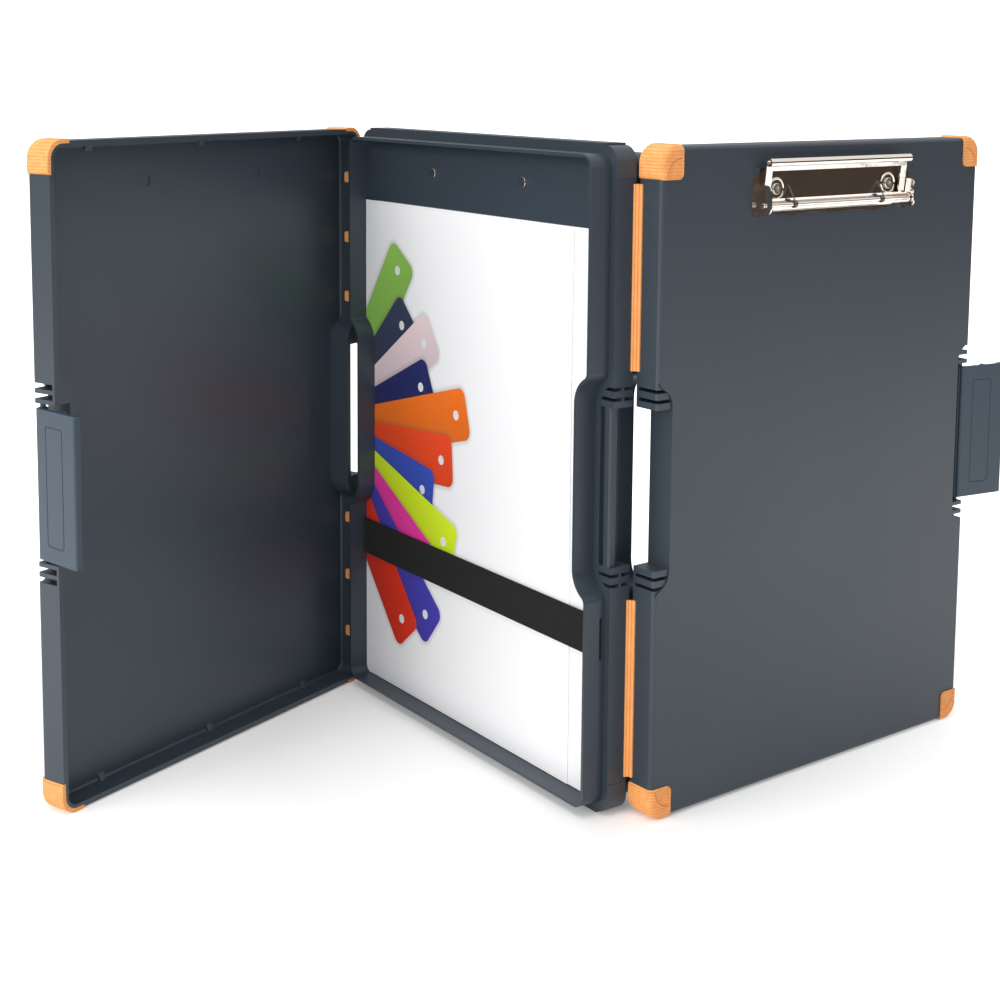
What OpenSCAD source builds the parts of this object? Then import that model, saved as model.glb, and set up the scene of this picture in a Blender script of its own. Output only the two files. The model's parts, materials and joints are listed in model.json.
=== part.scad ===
// Two-sided clipboard storage case: a two-sided tray with a hinged shell cover on each face.
// X runs across the tray, Y through its thickness (the front faces -Y) and Z up.
// The origin is the middle of the tray's underside, on its lower rail. The rear half is the
// front half turned 180 degrees about Z, so both covers, latches and hinges are drawn once
// and placed twice.

/* [Case] */
// Width of the tray and of both covers
case_w = 248; // [220:1:320]
// Height of the tray over its two rails
tray_h = 348; // [300:0.5:420]
// How far each cover stops short of the rails at the top and at the bottom
cover_under = 1; // [0.5:0.1:1.6]
// Plan radius of the outer corners
corner_r = 9; // [8:0.5:14]
// Gap between a closed cover and the tray
part_gap = 0.3; // [0.2:0.05:0.6]

/* [Covers] */
// Thickness of a cover, from its open edge to its outer face
cover_t = 16; // [14:0.5:24]
// Thickness of a cover's side walls
cover_wall = 3; // [2.4:0.1:3.2]
// Thickness of a cover's flat face
cover_floor = 2.2; // [1.6:0.1:3]
// Rounding of the outer face's edge
edge_r = 2.5; // [2:0.1:3.5]
// Rounding where the inside walls meet the face
cavity_r = 1.5; // [0.5:0.1:2]
// How far the front cover stands open
front_open = 68; // [0:1:180]
// How far the rear cover stands open
rear_open = 87; // [0:1:180]

/* [Tray] */
// Thickness of the tray's outer band, front to back
band_t = 12.5; // [10:0.5:18]
// How far the tray's rims are set in from the band's edge
rim_inset = 4.2; // [3.8:0.1:5]
// Thickness of a rim's wall
rim_wall = 1.8; // [1.2:0.1:2.4]
// How far the rims are set in from the rails at the top and at the bottom
rim_drop = 5.2; // [5:0.1:7]
// Corner radius of the rims
rim_corner_r = 8; // [5:0.5:10]
// Corner radius of the two compartments
well_corner_r = 4.5; // [3:0.5:8]
// Space between a rim's edge and the inside of its closed cover
rim_clear = 1.2; // [0.6:0.1:3]
// Thickness of the divider between the two compartments
divider_t = 2.4; // [1.6:0.1:4]
// Height of the rails on the band's top and bottom, between its corners
rail_up = 1; // [0.8:0.1:2.4]
// How far the band's corners stand out of its sides
corner_proud = 0.3; // [0.2:0.1:0.6]

/* [Hand notches] */
// Depth of the hand notch in each long side
notch_d = 10; // [8:0.5:12]
// Half the length of its straight floor
notch_flat = 42.8; // [35:0.1:60]
// Length of the S-shaped run-out at each end
notch_slope = 16.7; // [15.5:0.1:24]
// Half the length of the hand hole between the fins
hole_half = 41.3; // [38:0.1:44]
// Thickness of the fins beside a latch
fin_t = 2.2; // [1.6:0.1:3]
// Thickness of the fins on the hinge side and on the tray
hinge_fin_t = 3.4; // [2.2:0.1:3.6]
// Distance from one fin to the next
fin_pitch = 5.2; // [4.6:0.1:7]
// Thickness of the web that closes the slots between the fins
fin_web = 1.6; // [1:0.1:2.4]
// How far the fins lie below a cover's outer face
fin_sink = 0.8; // [0.3:0.1:1.2]
// Width of the grip bar across a notch in the tray
bar_w = 5.2; // [4:0.1:5.4]
// Depth of the grip bar, front to back
bar_t = 4.7; // [3.5:0.1:5.5]
// How far the grip bar lies inside the tray's side
bar_in = 1.9; // [1.5:0.1:2.2]

/* [Corner bumpers] */
// Length of a bumper along the top or bottom edge
bumper_u = 13.5; // [12:0.5:26]
// Length of a bumper up the side
bumper_z = 16.5; // [14:0.5:28]
// Thickness of a bumper
bumper_t = 2.2; // [1.8:0.1:2.6]
// How far a bumper stands proud of the cover
bumper_proud = 1; // [0.6:0.1:1.1]
// Radius of the sunk quarter disc on a bumper's face
bumper_disc_r = 9; // [6:0.5:11]
// Width of the raised lip along a bumper's edges
bumper_lip = 1.3; // [1:0.1:2]

/* [Hinges] */
// How far a hinge axis lies outside the tray's side
hinge_out = 1.2; // [1.2:0.05:2]
// Length of one hinge strip
strip_l = 94.4; // [60:0.1:100]
// Distance of each strip's outer end from the end of the tray
strip_end = 20.1; // [18.5:0.1:40]
// Width of the strip's leaf on the tray
tray_leaf_w = 1.8; // [1.7:0.1:4]
// Width of the strip's leaf on the cover
cover_leaf_w = 2.2; // [1.9:0.1:6]
// How deep a leaf is let into its shell
leaf_in = 0.8; // [0.5:0.1:1.2]
// How far a leaf stands out of its shell
leaf_out = 0.9; // [0.5:0.1:1]
// Radius of the bead that the two leaves turn on
bead_r = 0.6; // [0.5:0.05:0.8]
// Running clearance round the bead
bead_clear = 0.08; // [0.05:0.01:0.1]
// Height of each snap foot of a leaf
foot_h = 6.5; // [4:0.1:10]
// Spacing of the snap feet along a strip
foot_pitch = 36.8; // [25:0.1:40]

/* [Latches] */
// Length of a latch plate up the side
latch_h = 78; // [60:1:81]
// Thickness of a latch plate
latch_t = 2.6; // [2:0.1:3]
// How far a latch plate stands proud of the side
latch_proud = 1.2; // [0.8:0.1:1.6]
// How far a latch plate reaches past the cover's open edge
latch_reach = 21; // [19.5:0.1:21.5]
// Depth of a latch's pivot below the cover's open edge
pivot_v = 11.5; // [10:0.1:12.5]
// Radius of a latch's pivot pins
pin_r = 1.5; // [1:0.1:1.6]
// Running clearance of the pins
pin_clear = 0.06; // [0.03:0.01:0.1]
// How far the front latch stands off its hook
front_latch_open = 9; // [9:1:110]
// How far the rear latch stands off its hook
rear_latch_open = 100; // [9:1:110]

/* [Spring clips] */
// Spacing of a clip's two rivets
rivet_pitch = 88.5; // [80:0.5:92]
// Depth of the rivets below the top edge
rivet_down = 23.5; // [21:0.5:30]
// Half width of a clip's base plate
clip_half = 61.5; // [59:0.5:70]
// Width of the flat tab outside each cheek
clip_tab = 4.5; // [3:0.5:6]
// Thickness of the clip's sheet metal
clip_t = 0.9; // [0.7:0.05:1]
// Height of the finger roll above the rivets on the outer clip
outer_rise = 14; // [12:0.5:18]
// Height of the finger roll above the rivets on the inner clip
inner_rise = 12; // [11.5:0.5:13]
// Radius of the clip's pivot rod
rod_r = 1.2; // [1:0.05:1.3]
// Running clearance on the rod
rod_clear = 0.06; // [0.03:0.01:0.1]

/* [Contents] */
// Width of a paper sheet
sheet_w = 210; // [170:1:210]
// Height of a paper sheet
sheet_h = 297; // [250:1:300]
// Thickness of the card and of each loose bundle of sheets
sheet_t = 0.5; // [0.3:0.1:0.6]
// Step by which each loose sheet is fanned to the right
sheet_fan = 2.4; // [0.5:0.1:2.4]
// Width of the elastic strap
strap_w = 22; // [15:1:30]
// Thickness of the elastic strap
strap_t = 1.2; // [0.8:0.1:1.6]
// Height of the strap's middle above the base
strap_z = 95; // [40:1:98]

/* [Hidden] */
$fn = 48;

// Colours
shell_grey = "#3f4852";
bumper_orange = "#f59a3c";
clip_steel = "#c9c9cc";
paper_white = "#f4f4f2";
strap_black = "#1c1c1e";

// How far a cutting shape runs past the surface that it cuts
past = 1;

// How much larger an arc is drawn so that it crosses its neighbours instead of only touching
lap = 0.005;

// Case
half_w = case_w / 2;
half_band = band_t / 2;
mid_z = tray_h / 2;
cover_h = tray_h - 2 * cover_under;
band_h = tray_h - 2 * rail_up;
hinge_x = half_w + hinge_out;
hinge_y = half_band + part_gap / 2;
rim_h = cover_t - cover_floor - rim_clear;
rim_in = rim_inset + rim_wall;
well_z = rim_drop + rim_wall;
divider_back = divider_t - half_band;

// Hand notches
notch_r = (notch_d * notch_d + notch_slope * notch_slope) / (4 * notch_d);

// Middle of a hinge strip, from mid height
strip_at = mid_z - strip_end - strip_l / 2;

// Latches: the pivot lies this far inside the cover's side
pivot_in = latch_t;
bar_back = bar_t + part_gap;
hook_gap = 0.3;
hook_t = 2;
hook_deep = 2.1;
lip_w = 4.5;
lip_t = 4.5;

// Contents
layer_gap = 0.1;
sheet_fit = 0.4;

// Clips, measured up from the rivets and out from the board
rod_z = -8;
rod_out = 4.8;
cheek_at = clip_half - clip_tab;
lever_half = cheek_at - 1.5;
jaw_half = 47;
roll_r = 2.2;
roll_out = 6.2;
spring_wire_r = 0.35;
spring_at = 34.5;
rivet_r = 1.75;
rivet_clear = 0.05;
eyelet_r = 3;

// ---------------------------------------------------------------- placing

// A cover's own frame: x from its hinge side to its free side, its open edge on y = 0,
// its outer face at y = -cover_t, and z measured from mid height.
module at_cover(open) {
    translate([-hinge_x, -hinge_y, mid_z])
        rotate([0, 0, -open])
            translate([hinge_out, -part_gap / 2, 0])
                children();
}

module at_front_cover() {
    at_cover(front_open) children();
}

module at_rear_cover() {
    rotate([0, 0, 180]) at_cover(rear_open) children();
}

// Turns what is drawn in its hooked place about the latch pivot, away from the tray
module at_latch(open) {
    translate([case_w - pivot_in, -pivot_v, 0])
        rotate([0, 0, -open])
            translate([pivot_in - case_w, pivot_v, 0])
                children();
}

// A clip's own frame: x along the clip, z up from its rivets, and the board's face on y = 0
module at_outer_clip() {
    at_rear_cover()
        translate([half_w, -cover_t, cover_h / 2 - rivet_down])
            children();
}

module at_inner_clip() {
    translate([0, divider_back, tray_h - rivet_down])
        rotate([0, 0, 180])
            children();
}

// ---------------------------------------------------------------- shared outlines

// Rectangle from the origin with all four corners rounded
module round_rect(w, h, r) {
    translate([r, 0]) square([w - 2 * r, h]);
    translate([0, r]) square([w, h - 2 * r]);
    for (x = [r, w - r], y = [r, h - r])
        translate([x, y]) circle(r);
}

// Unit vector to the left of the way from a to b
function left_of(a, b) = [a.y - b.y, b.x - a.x] / norm(b - a);

// The same at point k of a row, lengthened at a bend so that the bar keeps its thickness
function mitre(points, k) =
    let (last = len(points) - 1,
         before = left_of(points[max(k - 1, 0)], points[max(k, 1)]),
         after = left_of(points[min(k, last - 1)], points[min(k + 1, last)]))
    (before + after) / (1 + before * after);

// Bar of one thickness through a row of points, with round ends
module round_bar(points, t) {
    last = len(points) - 1;
    polygon(concat(
        [for (k = [0:last]) points[k] + t / 2 * mitre(points, k)],
        [for (k = [last:-1:0]) points[k] - t / 2 * mitre(points, k)]
    ));
    for (p = [points[0], points[last]])
        translate(p) circle(t / 2 + lap);
}

// Half of a hand notch, with x running out of the side and y along it. The run-out is two
// equal arcs that meet half way; a parallel outline lies inset further into the body.
module notch_half(inset) {
    deep = notch_d + inset;
    floor_arc = [notch_r - notch_d, notch_flat];
    side_arc = [-notch_r, notch_flat + notch_slope];
    meet = floor_arc + (notch_r + inset) / (2 * notch_r) * (side_arc - floor_arc);
    difference() {
        union() {
            translate([-deep, 0]) square([deep + past, notch_flat]);
            translate(floor_arc) circle(notch_r + inset + lap);
            translate([floor_arc.x, notch_flat]) square([past - floor_arc.x, notch_slope]);
            translate(meet) square([past - meet.x, side_arc.y - meet.y]);
        }
        translate(side_arc) circle(notch_r - inset + lap);
    }
}

module notch_outline(inset) {
    notch_half(inset);
    mirror([0, 1]) notch_half(inset);
}

// The hand hole, which goes right through
module hand_hole() {
    intersection() {
        notch_outline(0);
        translate([-2 * notch_d, -hole_half]) square([3 * notch_d, 2 * hole_half]);
    }
}

// The slots between fins of thickness t, beyond both ends of the hand hole
module fin_slots(t) {
    slot_l = fin_pitch - t;
    intersection() {
        notch_outline(0);
        for (end = [-1, 1], slot = [0, 1])
            translate([-2 * notch_d,
                       end * (hole_half + t + slot_l / 2 + slot * fin_pitch) - slot_l / 2])
                square([3 * notch_d, slot_l]);
    }
}

// Stands an XZ outline up and gives it thickness from y = from back to y = from - t
module upright(from, t) {
    translate([0, from, 0]) rotate([90, 0, 0]) linear_extrude(t) children();
}

// Puts an outline drawn out of a side at x = 0 on both long sides of a width w
module both_sides(w) {
    translate([w, 0]) children();
    mirror([1, 0]) children();
}

// ---------------------------------------------------------------- cover shells

module face_profile(w, t, e) {
    translate([0, e - t]) square([w, t - e]);
    translate([e, -t]) square([w - 2 * e, t]);
    for (x = [e, w - e])
        translate([x, e - t]) circle(e);
}

// Plate with its open side on y = 0, round corners and a rounded edge to its outer face
module pillow(w, h, t, r, e) {
    for (x = [r, w - r], z = [r - h / 2, h / 2 - r])
        translate([x, 0, z]) rotate([90, 0, 0]) rotate_extrude() {
            square([r, t - e]);
            square([r - e, t]);
            translate([r - e, t - e]) circle(e);
        }
    translate([0, 0, r - h / 2]) linear_extrude(h - 2 * r) face_profile(w, t, e);
    translate([r, 0, h / 2]) rotate([0, 90, 0])
        linear_extrude(w - 2 * r) face_profile(h, t, e);
}

// The cover's outer form, sunk by depth below its surface, or grown where depth is negative
module cover_form(depth) {
    translate([depth, 0, 0])
        pillow(case_w - 2 * depth, cover_h - 2 * depth, cover_t - depth,
               corner_r - depth, edge_r - depth);
}

// Block over one corner of a cover: side 0 is the hinge side and 1 the free side
module corner_block(side, end, gap) {
    u = bumper_u - gap;
    z = bumper_z - gap;
    translate([side * case_w, 0, end * cover_h / 2])
        mirror([side, 0, 0])
            mirror([0, 0, end > 0 ? 1 : 0])
                translate([0, past, 0]) rotate([90, 0, 0])
                    linear_extrude(cover_t + 3 * past)
                        translate([-2 * past, -2 * past])
                            round_rect(u + 2 * past, z + 2 * past, corner_r / 3);
}

// Quarter disc on a bumper's face, seen from the cover's corner
module bumper_disc(grow) {
    r = corner_r / 3;
    intersection() {
        translate([bumper_u - bumper_lip, bumper_z - bumper_lip]) circle(bumper_disc_r + grow);
        translate([-r, -r])
            round_rect(bumper_u - bumper_lip + r, bumper_z - bumper_lip + r, r - bumper_lip);
    }
}

module bumper(side, end) {
    disc_sink = 0.4;
    ring_w = 0.6;
    ring_d = 0.8;
    line_w = 0.4;
    line_d = 0.3;
    face = -cover_t - bumper_proud;
    color(bumper_orange)
        difference() {
            intersection() {
                corner_block(side, end, 0);
                cover_form(-bumper_proud);
                translate([-half_w, -2 * cover_t, -cover_h])
                    cube([2 * case_w, 2 * cover_t, 2 * cover_h]);
            }
            cover_form(bumper_t - bumper_proud);
            if (side == 0) cover_leaf_pocket(end);
            translate([side * case_w, 0, end * cover_h / 2])
                mirror([side, 0, 0]) mirror([0, 0, end > 0 ? 1 : 0]) {
                    upright(face + disc_sink, disc_sink + past) bumper_disc(0);
                    upright(face + ring_d, ring_d + past) difference() {
                        bumper_disc(ring_w);
                        bumper_disc(0);
                    }
                }
            difference() {
                translate([-half_w, -2 * cover_t,
                           end * (cover_h / 2 - bumper_z + bumper_lip - line_w / 2) - line_w / 2])
                    cube([2 * case_w, 2 * cover_t + past, line_w]);
                cover_form(line_d - bumper_proud);
            }
        }
}

module cover_shell() {
    inner_w = case_w - 2 * cover_wall;
    inner_h = cover_h - 2 * cover_wall;
    difference() {
        cover_form(0);
        difference() {
            translate([cover_wall, past, 0])
                pillow(inner_w, inner_h, cover_t - cover_floor + past,
                       corner_r - cover_wall, cavity_r);
            upright(2 * past, cover_t + 3 * past)
                both_sides(case_w) notch_outline(cover_wall);
        }
        upright(past, cover_t + 2 * past) both_sides(case_w) hand_hole();
        upright(-fin_web, cover_t + past - fin_web) {
            mirror([1, 0]) fin_slots(hinge_fin_t);
            translate([case_w, 0]) fin_slots(fin_t);
        }
        upright(fin_sink - cover_t, 2 * past) both_sides(case_w) notch_outline(0);
        difference() {
            for (side = [0, 1], end = [-1, 1]) corner_block(side, end, 0);
            cover_form(bumper_t - bumper_proud);
        }
        for (end = [-1, 1]) cover_leaf_pocket(end);
        translate([case_w - pivot_in, -pivot_v, -hole_half - fin_t - past])
            cylinder(r = pin_r + pin_clear, h = 2 * (hole_half + fin_t + past));
    }
    cover_lugs();
}

// Three locating lugs on the inside of the top and bottom walls
module cover_lugs() {
    lug_w = 6;
    lug_h = 0.8;
    lug_v = 2;
    for (k = [-1, 0, 1], end = [-1, 1])
        translate([half_w + k * case_w / 3, -2 * lug_v, end * (cover_h / 2 - cover_wall)])
            intersection() {
                translate([-lug_w / 2, 0, -lug_h]) cube([lug_w, lug_v, 2 * lug_h]);
                translate([0, 0, end * (lug_w - lug_h)]) rotate([-90, 0, 0])
                    cylinder(r = lug_w, h = lug_v);
            }
}

module rivet_places() {
    for (k = [-1, 1])
        translate([k * rivet_pitch / 2, 0, 0]) children();
}

module front_cover() {
    dimple_r = 3;
    dimple_d = 0.5;
    color(shell_grey)
        at_front_cover()
            difference() {
                cover_shell();
                translate([half_w, cover_floor - cover_t, cover_h / 2 - rivet_down])
                    rivet_places() rotate([90, 0, 0])
                        translate([0, 0, -past]) cylinder(r = dimple_r, h = past + dimple_d);
            }
}

module rear_cover() {
    color(shell_grey)
        at_rear_cover()
            difference() {
                cover_shell();
                translate([half_w, cover_floor - cover_t, cover_h / 2 - rivet_down])
                    rivet_places() rotate([90, 0, 0])
                        translate([0, 0, -past])
                            cylinder(r = rivet_r + rivet_clear, h = cover_floor + 2 * past);
            }
}

// ---------------------------------------------------------------- hinges

// Profile of the leaf on the tray: a flat strip with the bead on the hinge axis
module tray_leaf_profile() {
    reach = hinge_out + leaf_in;
    start = hinge_out - leaf_out;
    tip_r = (leaf_out + leaf_in) / 4;
    translate([start, part_gap / 2]) square([reach - start, tray_leaf_w - tip_r]);
    translate([start + tip_r, part_gap / 2]) square([reach - start - tip_r, tray_leaf_w]);
    translate([start + tip_r, part_gap / 2 + tray_leaf_w - tip_r]) circle(tip_r);
    circle(bead_r);
    round_bar([[0, 0], [hinge_out, hinge_out]], bead_r);
}

// Profile of the leaf on the cover, hollowed round the bead
module cover_leaf_profile() {
    reach = hinge_out + leaf_in;
    start = hinge_out - leaf_out;
    tip_r = (leaf_out + leaf_in) / 4;
    difference() {
        union() {
            translate([start, tip_r - part_gap / 2 - cover_leaf_w])
                square([reach - start, cover_leaf_w - tip_r]);
            translate([start + tip_r, -part_gap / 2 - cover_leaf_w])
                square([reach - start - tip_r, cover_leaf_w]);
            translate([start + tip_r, tip_r - part_gap / 2 - cover_leaf_w]) circle(tip_r);
        }
        circle(bead_r + bead_clear);
    }
}

// The places of a strip's snap feet, up from its middle
module feet(end) {
    for (k = [-1, 0, 1])
        translate([0, 0, end * strip_at + k * foot_pitch]) children();
}

// Snap foot of the cover leaf: a neck through the wall and a pad on its inside
module cover_foot(gap) {
    neck_v = 0.4;
    neck_w = 1.3;
    pad_v = 9;
    pad_t = 0.8;
    translate([leaf_in - past / 2, -neck_v - neck_w - gap, -foot_h / 2 - gap])
        cube([cover_wall + past / 2 + pad_t - leaf_in, neck_w + 2 * gap, foot_h + 2 * gap]);
    if (gap == 0)
        translate([cover_wall, -neck_v - pad_v, 0])
            rotate([0, 90, 0]) linear_extrude(pad_t)
                translate([-foot_h / 2, 0]) round_rect(foot_h, pad_v, foot_h / 5);
}

module tray_foot(gap) {
    foot_d = 3;
    neck_v = 0.4;
    neck_w = 1.2;
    translate([leaf_in - past / 2, neck_v - gap, -foot_h / 2 - gap])
        cube([foot_d + past / 2 + gap, neck_w + 2 * gap, foot_h + 2 * gap]);
}

module cover_leaf_pocket(end) {
    gap = 0.1;
    translate([-past, -cover_leaf_w - gap, end * strip_at - strip_l / 2 - gap])
        cube([leaf_in + past, cover_leaf_w + gap + past, strip_l + 2 * gap]);
    feet(end) cover_foot(gap);
}

// Cover leaf in the cover's frame
module cover_leaf(end) {
    color(bumper_orange) {
        translate([-hinge_out, part_gap / 2, end * strip_at - strip_l / 2])
            linear_extrude(strip_l) cover_leaf_profile();
        feet(end) cover_foot(0);
    }
}

// Tray leaf in a frame with x in from the tray's side and y back from the band's front
module tray_leaf(end) {
    color(bumper_orange) {
        translate([-hinge_out, -part_gap / 2, end * strip_at - strip_l / 2])
            linear_extrude(strip_l) tray_leaf_profile();
        feet(end) tray_foot(0);
    }
}

module tray_leaf_pocket(end) {
    gap = 0.1;
    translate([-past, -past, end * strip_at - strip_l / 2 - gap])
        cube([leaf_in + past, tray_leaf_w + gap + past, strip_l + 2 * gap]);
    feet(end) tray_foot(gap);
}

// The front hinge's side of the tray, and the rear hinge's turned half round
module at_tray_hinge(rear) {
    rotate([0, 0, rear ? 180 : 0])
        translate([-half_w, -half_band, mid_z])
            children();
}

// ---------------------------------------------------------------- tray

// Outline of the rims, sunk by depth below their outer surface, about x = 0 and z = 0
module rim_outline(depth, r) {
    inset = rim_inset + depth;
    w = case_w - 2 * inset;
    h = tray_h - 2 * (rim_drop + depth);
    difference() {
        translate([-w / 2, -h / 2]) round_rect(w, h, r);
        translate([-half_w, 0]) both_sides(case_w) notch_outline(inset);
    }
}

// The band with its rails, and its corners that stand out a little as far as the bumpers go
module band_outline() {
    rail_w = case_w - 2 * corner_r;
    pad_w = case_w + 2 * corner_proud;
    pad_z = 2 * (bumper_z + cover_under - rail_up);
    difference() {
        union() {
            translate([-half_w, -band_h / 2]) round_rect(case_w, band_h, corner_r);
            square([rail_w, tray_h], center = true);
        }
        translate([-half_w, 0]) both_sides(case_w) hand_hole();
    }
    intersection() {
        translate([-pad_w / 2, -band_h / 2]) round_rect(pad_w, band_h, corner_r + corner_proud);
        for (x = [-1, 1], z = [-1, 1])
            translate([x * half_w, z * band_h / 2])
                square([2 * corner_r, pad_z], center = true);
    }
}

// Grip bar across one hand notch, flush with the band's front
module grip_bar() {
    round_r = 1.2;
    translate([half_w - bar_in - bar_w, -half_band, mid_z - hole_half - hinge_fin_t / 2])
        linear_extrude(2 * hole_half + hinge_fin_t)
            round_rect(bar_w, bar_t, round_r);
}

module strap_slot() {
    gap = 0.2;
    slot_w = strap_w + 2 * gap;
    translate([-half_w + rim_inset - past, -half_band - 3 * sheet_t - strap_t - 3 * gap,
               strap_z - slot_w / 2])
        cube([case_w - 2 * rim_inset + 2 * past, strap_t + 2 * gap, slot_w]);
}

module tray() {
    rim_deep = half_band + rim_h;
    color(shell_grey)
        difference() {
            translate([0, 0, mid_z]) {
                upright(half_band, band_t) band_outline();
                upright(rim_deep, 2 * rim_deep) rim_outline(0, rim_corner_r);
            }
            translate([0, 0, mid_z]) {
                upright(-half_band, rim_h + past) rim_outline(rim_wall, well_corner_r);
                upright(rim_deep + past, rim_deep + past - divider_back)
                    rim_outline(rim_wall, well_corner_r);
                for (from = [half_band + past, -fin_web / 2])
                    upright(from, half_band + past - fin_web / 2)
                        translate([-half_w, 0]) both_sides(case_w) fin_slots(hinge_fin_t);
            }
            strap_slot();
            for (rear = [false, true], end = [-1, 1])
                at_tray_hinge(rear) tray_leaf_pocket(end);
            translate([0, divider_back, tray_h - rivet_down])
                rivet_places() rotate([90, 0, 0])
                    translate([0, 0, -past])
                        cylinder(r = rivet_r + rivet_clear, h = divider_t + 2 * past);
        }
    color(shell_grey)
        for (half = [0, 180])
            rotate([0, 0, half]) grip_bar();
}

// ---------------------------------------------------------------- latches

// Cross-section of a hooked latch: x out of the cover's side, y on from its open edge
module latch_profile() {
    inner = latch_proud - latch_t;
    tip_r = latch_t / 2;
    round_bar([[inner + tip_r, -pivot_v], [inner + tip_r, latch_reach - tip_r]], latch_t);
    translate([latch_proud - lip_t, latch_reach - lip_w])
        round_rect(lip_t, lip_w, tip_r);
    translate([-pivot_in, -pivot_v]) circle(pivot_in);
    translate([inner - hook_deep - latch_t / 4, bar_back + hook_gap])
        square([hook_deep + latch_t / 2, hook_t]);
}

module latch() {
    frame_v = -4.3;
    frame_w = 14.6;
    frame_h = 62;
    frame_r = 2;
    line = 0.6;
    line_d = 0.35;
    color(shell_grey) {
        difference() {
            translate([case_w, 0, -latch_h / 2]) linear_extrude(latch_h) latch_profile();
            translate([case_w + latch_proud - line_d, frame_v, 0])
                rotate([90, 0, 90]) linear_extrude(past)
                    difference() {
                        translate([0, -frame_h / 2]) round_rect(frame_w, frame_h, frame_r);
                        translate([line, line - frame_h / 2])
                            round_rect(frame_w - 2 * line, frame_h - 2 * line, frame_r - line);
                    }
        }
        for (end = [-1, 1])
            translate([case_w - pivot_in, -pivot_v, end * (latch_h / 2 - past)])
                mirror([0, 0, end < 0 ? 1 : 0])
                    cylinder(r = pin_r, h = past + hole_half - latch_h / 2 + fin_t + hook_gap);
    }
}

// ---------------------------------------------------------------- spring clips

// Side view outlines of a clip are drawn with x up from the rivets and y out from the board,
// and given their width along the clip by this module
module clip_slice(from, w) {
    translate([from, 0, 0])
        rotate([90, 0, 90]) linear_extrude(w)
            rotate(90) children();
}

module clip_base(rise) {
    top = rise - 3;
    low = -8.5;
    tab_top = 7.5;
    tab_low = -14;
    tab_r = 2.5;
    cheek_top = 2.5;
    cheek_out = 9.5;
    cheek_r = 3.5;
    ring_r = 5.4;
    bead = 0.7;
    color(clip_steel) {
        difference() {
            union() {
                translate([-cheek_at, 0, low]) upright(0, clip_t)
                    round_rect(2 * cheek_at, top - low, 1);
                for (x = [-clip_half, cheek_at - tab_r])
                    translate([x, 0, tab_low]) upright(0, clip_t)
                        round_rect(clip_tab + tab_r, tab_top - tab_low, tab_r);
                rivet_places() rotate([90, 0, 0]) translate([0, 0, clip_t - bead / 4])
                    rotate_extrude() translate([ring_r, 0]) circle(bead);
            }
            rivet_places() rotate([90, 0, 0])
                translate([0, 0, -past])
                    cylinder(r = rivet_r + rivet_clear, h = 3 * past);
        }
        difference() {
            for (x = [-cheek_at, cheek_at - clip_t])
                clip_slice(x, clip_t) {
                    translate([tab_low + 1, clip_t * 1.5])
                        round_rect(cheek_top - tab_low - 1, cheek_out - clip_t * 1.5, cheek_r);
                    translate([tab_low + 1, 0])
                        square([cheek_top - tab_low - 1, cheek_out / 2]);
                }
            translate([-2 * clip_half, -rod_out, rod_z])
                rotate([0, 90, 0]) cylinder(r = rod_r + rod_clear, h = 4 * clip_half);
        }
    }
}

// The lever: a rolled finger bar, a window between two arms, two ears on the rod and the jaw
module clip_lever(rise) {
    heel = [-10.5, 1.75];
    knee = [-4.5, 2.4];
    roll = [rise, roll_out];
    slope = atan2(roll.y - knee.y, roll.x - knee.x);
    neck = roll + (roll_r - clip_t / 2) * [sin(slope), -cos(slope)];
    curl_gap = 1.4;
    lip = [-11.4, 0.95];
    arm_w = 4.5;
    window_low = knee.x - clip_t / 2;
    window_top = rise - 2 * roll_r;
    ear_r = 3;
    ear_w = 5;
    color(clip_steel) {
        difference() {
            union() {
                clip_slice(-lever_half, 2 * lever_half) {
                    round_bar([heel, knee, neck], clip_t);
                    difference() {
                        translate(roll) circle(roll_r);
                        translate(roll) circle(roll_r - clip_t);
                        translate(roll - [2 * roll_r, curl_gap / 2])
                            square([2 * roll_r, curl_gap]);
                    }
                }
                clip_slice(-jaw_half, 2 * jaw_half) round_bar([heel, lip], clip_t);
                translate([0, clip_t / 2 - lip.y, 0]) upright(0, clip_t)
                    jaw_lip(lip.x);
                for (x = [-lever_half, lever_half - clip_t])
                    clip_slice(x, clip_t) {
                        translate([rod_z, rod_out]) circle(ear_r);
                        translate([rod_z - ear_w / 2, heel.y]) square([ear_w, rod_out - heel.y]);
                    }
            }
            translate([arm_w - lever_half, -2 * roll_out, window_low])
                cube([2 * (lever_half - arm_w), 2 * roll_out, window_top - window_low]);
            translate([-2 * clip_half, -rod_out, rod_z])
                rotate([0, 90, 0]) cylinder(r = rod_r + rod_clear, h = 4 * clip_half);
        }
    }
}

// The jaw's edge ends in shallow waves
module jaw_lip(top) {
    depth = 2.2;
    wave = 0.6;
    steps = 36;
    polygon(concat(
        [[-jaw_half, top], [jaw_half, top]],
        [for (k = [steps:-1:0])
            [jaw_half * (2 * k / steps - 1), top - depth + wave * cos(k * 1080 / steps)]]
    ));
}

module clip_rod() {
    over = 1.2;
    color(clip_steel)
        translate([-cheek_at - over, -rod_out, rod_z])
            rotate([0, 90, 0]) cylinder(r = rod_r, h = 2 * (cheek_at + over));
}

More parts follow.
